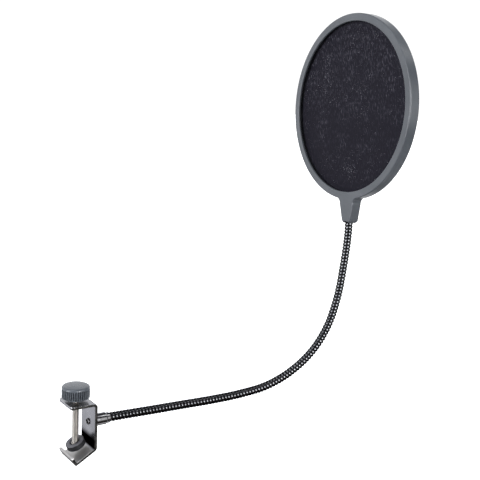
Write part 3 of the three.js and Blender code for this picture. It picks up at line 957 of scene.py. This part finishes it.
def buildSnapRing():
    swivel = Vector(joints["screw_spin"]["pos_m"]) / mm
    half = snapRing["thickness"] / 2
    inner, outer = snapRing["inner"], snapRing["outer"]
    corners = [(inner, -half, 0.12), (outer, -half, 0.2), (outer, half, 0.2), (inner, half, 0.12)]
    ring = filletLoop(corners, 3)
    count, steps = len(ring), snapRing["steps"]
    gap = math.radians(snapRing["gap"])
    verts, faces = [], []
    for j in range(steps + 1):
        angle = gap / 2 + (math.tau - gap) * j / steps
        verts += [(p.x * math.cos(angle), p.x * math.sin(angle), p.y) for p in ring]
    for j in range(steps):
        for i in range(count):
            k = (i + 1) % count
            faces.append((j * count + i, (j + 1) * count + i, (j + 1) * count + k, j * count + k))
    faces += [tuple(range(count)), tuple(range(steps * count, (steps + 1) * count))]
    piece = closeMesh("snapRing", verts, faces, zincPlate, Matrix.Translation(swivel))
    return finishPiece(piece, "swivel", "screw_steel", "pad_snap_ring")


buildSnapRing()
print("clamp built")


# head: hoop with its stem, rings and two screens

hoop = {
    "radius": 77.5,
    "rim": 6.3,  # front lip's width
    "wall": 2.2,
    "lip": 1.7,  # front lip's thickness
    "edge": 0.9,
    "lipEdge": 0.45,
    "stemTop": 8.9,
    "stemBottom": 5.7,
    "flare": 5.0,
    "stemCorner": 2.6,
    "socket": 3.6,
}


def headPlace():
    # origin in the middle of the hoop, X out of its rear face and Z away from the stem
    rear = next(m for m in frame["record"]["mounts"] if m["name"] == "hoop_rear_face")
    normal = Vector(rear["axis"]).normalized()
    centre = centreOf("front_screen")
    points = [v.co / mm for v in nodes["hoop_shell"].data.vertices]
    stem = [p for p in points if (p - centre).length > hoop["radius"] + 14]
    down = sum(((p - centre) for p in stem), Vector()) / len(stem)
    up = -(down - normal * down.dot(normal)).normalized()
    low, high = spanAlong("hoop_shell", centre, normal)
    middle = centre + normal * (low + high) / 2
    across = up.cross(normal)
    turn = Matrix((normal, across, up)).transposed().to_4x4()
    return Matrix.Translation(middle) @ turn, middle, normal, up, (high - low) / 2


headMatrix, headCentre, headNormal, headUp, halfDepth = headPlace()
stemEnd = -spanAlong("hoop_shell", headCentre, headUp)[0]  # from the hoop's middle to the stem's end


def hoopOutline():
    # closed outline in the head's Y and Z, with the edge rounding that each point has
    radius, flare = hoop["radius"], hoop["flare"]
    top, bottom, corner = hoop["stemTop"], hoop["stemBottom"], hoop["stemCorner"]
    flareY = top + flare
    below = math.sqrt((radius + flare) ** 2 - flareY ** 2)
    touch = math.atan2(below, -flareY)
    start = math.atan2(-below, flareY)
    side = []  # right-hand half of the stem, from the hoop down to the middle of its end
    for i in range(9):
        a = touch + (math.pi - touch) * i / 8
        side.append((flareY + flare * math.cos(a), -below + flare * math.sin(a), hoop["edge"]))
    low = -stemEnd
    cornerTop = low + corner
    for i in range(1, 11):
        t = i / 11
        side.append((top + (bottom - top) * t, -below + (cornerTop + below) * t, hoop["edge"]))
    for i in range(0, 9):
        a = -math.pi / 2 * i / 8
        grow = i / 8
        side.append((bottom - corner + corner * math.cos(a), cornerTop + corner * math.sin(a),
                     hoop["edge"] + (corner - hoop["edge"]) * grow))
    for i in range(1, 4):
        side.append(((bottom - corner) * (1 - i / 3), low, corner))
    arc = []
    count = 220
    for i in range(count + 1):
        a = start + (math.pi - 2 * start) * i / count
        arc.append((radius * math.cos(a), radius * math.sin(a), hoop["edge"]))
    left = [(-y, z, edge) for y, z, edge in side[:-1]]
    right = side[::-1]
    return arc + left[1:] + right[:-1]


def buildHoop():
    outline = hoopOutline()
    count = len(outline)
    rings = []
    opening = hoop["radius"] - hoop["rim"]
    pocket = hoop["radius"] - hoop["wall"]
    h, lip, small = halfDepth, hoop["lip"], hoop["lipEdge"]
    for i, (y, z, edge) in enumerate(outline):
        before, after = outline[i - 1], outline[(i + 1) % count]
        along = Vector((after[0] - before[0], after[1] - before[1])).normalized()
        out = Vector((along.y, -along.x))
        here = Vector((y, z))
        spoke = here.normalized()
        row = []
        # inner part: circles
        inner = ((pocket, h), (pocket, -h + lip), (opening + 0.25, -h + lip), (opening, -h + lip - 0.25))
        for radius, x in inner:
            row.append((x, spoke * radius))
        for k in range(5):
            a = math.pi / 2 * k / 4
            row.append((-h + small * (1 - math.sin(a)), spoke * (opening + small * (1 - math.cos(a)))))
        inset = here - out * edge
        start = spoke * (opening + small)
        for t in (0.08, 0.5, 0.94):
            row.append((-h, start.lerp(inset, t)))
        for k in range(7):
            a = math.pi / 2 * k / 6
            row.append((-h + edge * (1 - math.cos(a)), here - out * edge * (1 - math.sin(a))))
        row.append((-h + edge + 0.6, here))
        row.append((h - edge - 0.6, here))
        for k in range(7):
            a = math.pi / 2 * k / 6
            row.append((h - edge * (1 - math.sin(a)), here - out * edge * (1 - math.cos(a))))
        row.append((h, (here - out * edge).lerp(spoke * pocket, 0.5)))
        rings.append([(x, p.x, p.y) for x, p in row])
    rows = len(rings[0])
    verts = [p for ring in rings for p in ring]
    faces = []
    for i in range(count):
        n = (i + 1) % count
        for j in range(rows):
            k = (j + 1) % rows
            faces.append((i * rows + j, n * rows + j, n * rows + k, i * rows + k))
    piece = closeMesh("hoopShell", verts, faces, hoopPlastic, headMatrix, smooth=40)
    neckSpot = neckMouth()
    cutAway(piece, [cylinderAlong(neckSpot - headUp * 3, neckSpot + headUp * 3.2, hoop["socket"])])
    evenNormals(piece)
    return finishPiece(piece, "head", "hoop_plastic", "hoop_shell")


def neckMouth():
    # middle of the gooseneck where it meets the stem's end
    stud = centreOf("neck_stud") - headCentre
    ahead = stud.dot(headNormal)
    return headCentre + headNormal * ahead - headUp * stemEnd


buildHoop()

headRings = {
    "front_press_ring": {"name": "frontPressRing", "inner": 71.8, "fillet": 0.35,
                         "material": ringPlastic, "slot": "ring_plastic"},
    "screen_spacer": {"name": "screenSpacer", "inner": 71.8, "fillet": 0.3,
                      "material": ringPlastic, "slot": "ring_plastic"},
    "rear_cover_ring": {"name": "rearCoverRing", "inner": 71.2, "fillet": 0.5,
                        "material": hoopPlastic, "slot": "hoop_plastic"},
}


def buildHeadRings():
    turn = Matrix.Rotation(math.pi / 2, 4, "Y")
    outer = hoop["radius"] - hoop["wall"] - 0.15
    for node, ring in headRings.items():
        low, high = spanAlong(node, headCentre, headNormal)
        inner, fillet = ring["inner"], ring["fillet"]
        corners = [(inner, low, fillet), (outer, low, 0.2), (outer, high, 0.25), (inner, high, fillet)]
        piece = revolve(ring["name"], corners, headMatrix @ turn, ring["material"], around=240, steps=4)
        evenNormals(piece)
        finishPiece(piece, "head", ring["slot"], node)


buildHeadRings()

screens = {
    "radius": 75.0,
    "rings": 30,
    "around": 120,
    "slack": 0.10,  # how far the stretched knit wanders from flat
    "wale": 0.55,  # width of one column of stitches
    "course": 0.42,
}


def buildKnitMaterial():
    material, tree, shader = newMaterial("nylonKnit", Specular_IOR_Level=0.1)
    place = tree.nodes.new("ShaderNodeTexCoord").outputs["Object"]

    def alongAxis(axis):
        node = tree.nodes.new("ShaderNodeVectorMath")
        node.operation = "DOT_PRODUCT"
        wire(tree, place, node.inputs[0])
        node.inputs[1].default_value = tuple(axis)
        return node.outputs["Value"]

    across, up = alongAxis(headUp.cross(headNormal)), alongAxis(headUp)
    high = mathNode(tree, "SUBTRACT", up, headCentre.dot(headUp) * mm)

    def combine(a, b):
        node = tree.nodes.new("ShaderNodeCombineXYZ")
        wire(tree, a, node.inputs[0])
        wire(tree, b, node.inputs[1])
        return node.outputs[0]

    # columns and courses of stitches
    wale = mathNode(tree, "SINE", mathNode(tree, "MULTIPLY", across, math.tau / (screens["wale"] * mm)))
    course = mathNode(tree, "SINE", mathNode(tree, "MULTIPLY", up, math.tau / (screens["course"] * mm)))
    stitch = mathNode(tree, "MULTIPLY_ADD", mathNode(tree, "MULTIPLY", wale, course), 0.25)
    weave = mathNode(tree, "ADD", stitch, mathNode(tree, "MULTIPLY", mathNode(tree, "ABSOLUTE", wale), 0.5))
    # pulled fibres: short upright strokes that lean a little, in loose patches
    lean = mathNode(tree, "ADD", across, mathNode(tree, "MULTIPLY", up, -0.18))
    strokes = noiseNode(tree, combine(mathNode(tree, "MULTIPLY", lean, 4.5), up), 230.0, 3.0, 0.65, 0.35)
    patches = noiseNode(tree, combine(across, up), 60.0, 3.0, 0.6)
    patches = mathNode(tree, "ADD", patches, mathNode(tree, "MULTIPLY", high, 2.4))
    patches = rangeNode(tree, patches, 0.36, 0.70, 0.2, 1.0)
    strokes = mathNode(tree, "MULTIPLY", rangeNode(tree, strokes, 0.50, 0.70), patches)
    dust = useGroup(tree, dustGroup, Speck_scale=1300.0, Amount=0.26)
    colour = rangeNode(tree, weave, -0.2, 0.8)
    colour = mixColour(tree, colour, (0.0022, 0.0020, 0.0040), (0.0072, 0.0066, 0.0108))
    colour = mixColour(tree, mathNode(tree, "MULTIPLY", strokes, 0.8), colour, (0.058, 0.057, 0.072))
    colour = mixColour(tree, dust.outputs["Specks"], colour, (0.22, 0.22, 0.24))
    wire(tree, colour, shader.inputs["Base Color"])
    wire(tree, rangeNode(tree, strokes, 0.0, 1.0, 0.85, 0.6), shader.inputs["Roughness"])
    bumpInto(tree, shader, mathNode(tree, "ADD", weave, strokes), 0.5, 0.08)
    return material


def buildScreens():
    knit = buildKnitMaterial()
    front = ("front_screen", "frontScreen", "front_press_ring")
    rear = ("rear_screen", "rearScreen", "rear_cover_ring")
    for node, name, rests in (front, rear):
        middle = sum(spanAlong(node, headCentre, headNormal)) / 2
        verts, faces = [(middle, 0, 0)], []
        around, rings = screens["around"], screens["rings"]
        for j in range(1, rings + 1):
            radius = screens["radius"] * j / rings
            for i in range(around):
                angle = math.tau * i / around
                y, z = radius * math.cos(angle), radius * math.sin(angle)
                hold = 1 - (j / rings) ** 6
                wander = noise.noise(Vector((y * 0.05, z * 0.02, middle))) * screens["slack"] * hold
                verts.append((middle + wander, y, z))
        faces += [(0, 1 + i, 1 + (i + 1) % around) for i in range(around)]
        for j in range(rings - 1):
            for i in range(around):
                n = (i + 1) % around
                a, b = 1 + j * around, 1 + (j + 1) * around
                faces.append((a + i, b + i, b + n, a + n))
        piece = closeMesh(name, verts, faces, knit, headMatrix)
        finishPiece(piece, "head", "screen_nylon", node)


buildScreens()
for slotPlace in nodes["neck_stud"].material_slots:
    slotPlace.material = zincPlate
print("head built")


# gooseneck, wound from a round and a flat wire

gooseneck = {
    "radius": 3.45,
    "pitch": 2.8,
    "around": 32,
    "perTurn": 14,
    "wireWidth": 2.05,  # of the wide wire, seen from outside
    "crown": 3.0,  # radius of the wide wire's outside
    "shoulder": 0.32,  # where it rounds down to the narrow wire
    "groove": 2.85,  # outside of the narrow wire between its turns
    "intoFerrule": 4.0,
    "intoStem": 2.6,
    "pathSteps": 40,  # between two joints
}
hinges = [joint for joint in frame["joints"] if joint["name"].startswith("neck_")]
hinges.sort(key=lambda joint: joint["name"][-2:])


def neckPath():
    # dense points of the centre line with a frame at each, from inside the ferrule into the stem
    ferruleLow, ferruleHigh = (Vector(p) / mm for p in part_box("base_ferrule"))
    level = (ferruleLow + ferruleHigh) / 2
    mouth = Vector((ferruleHigh.x, level.y, level.z))
    end = neckMouth()
    knots = [mouth - Vector((8, 0, 0)), mouth]
    knots += [Vector(j["pos_m"]) / mm for j in hinges]
    knots += [end, end + headUp * 8]
    first = knots[0] + knots[0] - knots[1]
    last = knots[-1] + knots[-1] - knots[-2]
    control = [first, *knots, last]
    points, marks = [], []
    for i in range(1, len(control) - 2):
        p0, p1, p2, p3 = control[i - 1:i + 3]
        marks.append(len(points))
        t1 = (p1 - p0).length ** 0.5
        t2 = t1 + (p2 - p1).length ** 0.5
        t3 = t2 + (p3 - p2).length ** 0.5
        for s in range(gooseneck["pathSteps"]):
            t = t1 + (t2 - t1) * s / gooseneck["pathSteps"]
            a1 = p0 * ((t1 - t) / t1) + p1 * (t / t1)
            a2 = p1 * ((t2 - t) / (t2 - t1)) + p2 * ((t - t1) / (t2 - t1))
            a3 = p2 * ((t3 - t) / (t3 - t2)) + p3 * ((t - t2) / (t3 - t2))
            b1 = a1 * ((t2 - t) / t2) + a2 * (t / t2)
            b2 = a2 * ((t3 - t) / (t3 - t1)) + a3 * ((t - t1) / (t3 - t1))
            points.append(b1 * ((t2 - t) / (t2 - t1)) + b2 * ((t - t1) / (t2 - t1)))
    marks.append(len(points))
    points.append(knots[-1])
    lengths = [0.0]
    for a, b in zip(points, points[1:]):
        lengths.append(lengths[-1] + (b - a).length)
    side = Vector((0, 1, 0))
    frames = []
    for i, p in enumerate(points):
        tangent = (points[min(i + 1, len(points) - 1)] - points[max(i - 1, 0)]).normalized()
        side = (side - tangent * side.dot(tangent)).normalized()
        frames.append((p, side.copy(), tangent.cross(side)))
    return lengths, frames, [lengths[m] for m in marks]


def frameAt(lengths, frames, distance):
    low, high = 0, len(lengths) - 1
    while high - low > 1:
        middle = (low + high) // 2
        if lengths[middle] <= distance:
            low = middle
        else:
            high = middle
    t = min(max((distance - lengths[low]) / (lengths[high] - lengths[low]), 0), 1)
    return [a.lerp(b, t) for a, b in zip(frames[low], frames[high])]


def windingRadius(phase):
    # outside of the winding over one pitch: the wide wire's crown, its shoulders, then the narrow wire
    g = gooseneck
    off = abs(phase - 0.5) * g["pitch"]
    crown = g["radius"] - off ** 2 / (2 * g["crown"])
    past = (off - (g["wireWidth"] / 2 - g["shoulder"])) / g["shoulder"]
    if past <= 0:
        return crown
    if past >= 1:
        return g["groove"]
    return g["groove"] + (crown - g["groove"]) * math.sqrt(1 - past ** 2)


def buildCoil(name, lengths, frames, start, end):
    g = gooseneck
    around, perTurn = g["around"], g["perTurn"]
    rise = g["pitch"] / perTurn
    rows = int((end - start) / rise) + perTurn + 3
    verts, faces = [], []
    first = math.floor(start / rise) - perTurn
    for i in range(around + 1):
        angle = math.tau * i / around
        for j in range(rows + 1):
            along = (first + j + perTurn * i / around) * rise
            along = min(max(along, start), end)
            phase = (along / g["pitch"] - i / around) % 1
            centre, side, other = frameAt(lengths, frames, along)
            verts.append(centre + (side * math.cos(angle) + other * math.sin(angle)) * windingRadius(phase))
    count = rows + 1
    for i in range(around):
        for j in range(rows):
            a, b = i * count + j, (i + 1) * count + j
            faces.append((a, b, b + 1, a + 1))
    for place, row in ((start, 0), (end, rows)):
        hub = len(verts)
        verts.append(frameAt(lengths, frames, place)[0])
        faces += [(hub, i * count + row, (i + 1) * count + row) for i in range(around)]
    return closeMesh(name, verts, faces, windingMetal, smooth=75)


def markCrests(piece, frames):
    # 0 on the narrow wire, 1 on the wide wire's crown
    g = gooseneck
    spots = [p for p, _, _ in frames]
    tree = kdtree.KDTree(len(spots))
    for i, p in enumerate(spots):
        tree.insert(p, i)
    tree.balance()
    attribute = piece.data.attributes.new("crest", "FLOAT", "POINT")
    for i, vertex in enumerate(piece.data.vertices):
        point = vertex.co / mm
        nearest = tree.find(point)[1]
        ahead = (spots[min(nearest + 1, len(spots) - 1)] - spots[max(nearest - 1, 0)]).normalized()
        spoke = point - spots[nearest]
        radius = (spoke - ahead * spoke.dot(ahead)).length
        attribute.data[i].value = (radius - g["groove"]) / (g["radius"] - g["groove"])


def buildGooseneck():
    lengths, frames, marks = neckPath()
    mouth, stem = marks[1], marks[-2]
    pitch = (stem - mouth) / len(hinges)
    ends = [mouth + pitch * k for k in range(len(hinges) + 1)]
    for k, hinge in enumerate(hinges):
        start = ends[k] - (gooseneck["intoFerrule"] if k == 0 else 0)
        end = ends[k + 1] + (gooseneck["intoStem"] if k == len(hinges) - 1 else 0)
        piece = buildCoil(f"gooseneckCoil_{k + 1:02d}", lengths, frames, start, end)
        markCrests(piece, frames)
        replaced = [frame["record"]["behaviour"]["bodies"][hinge["child"]][0]]
        if k == 0:
            replaced.append("gooseneck_base_end")
        finishPiece(piece, None, "gooseneck_steel", *replaced)
        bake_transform(piece)


buildGooseneck()
print("gooseneck built")
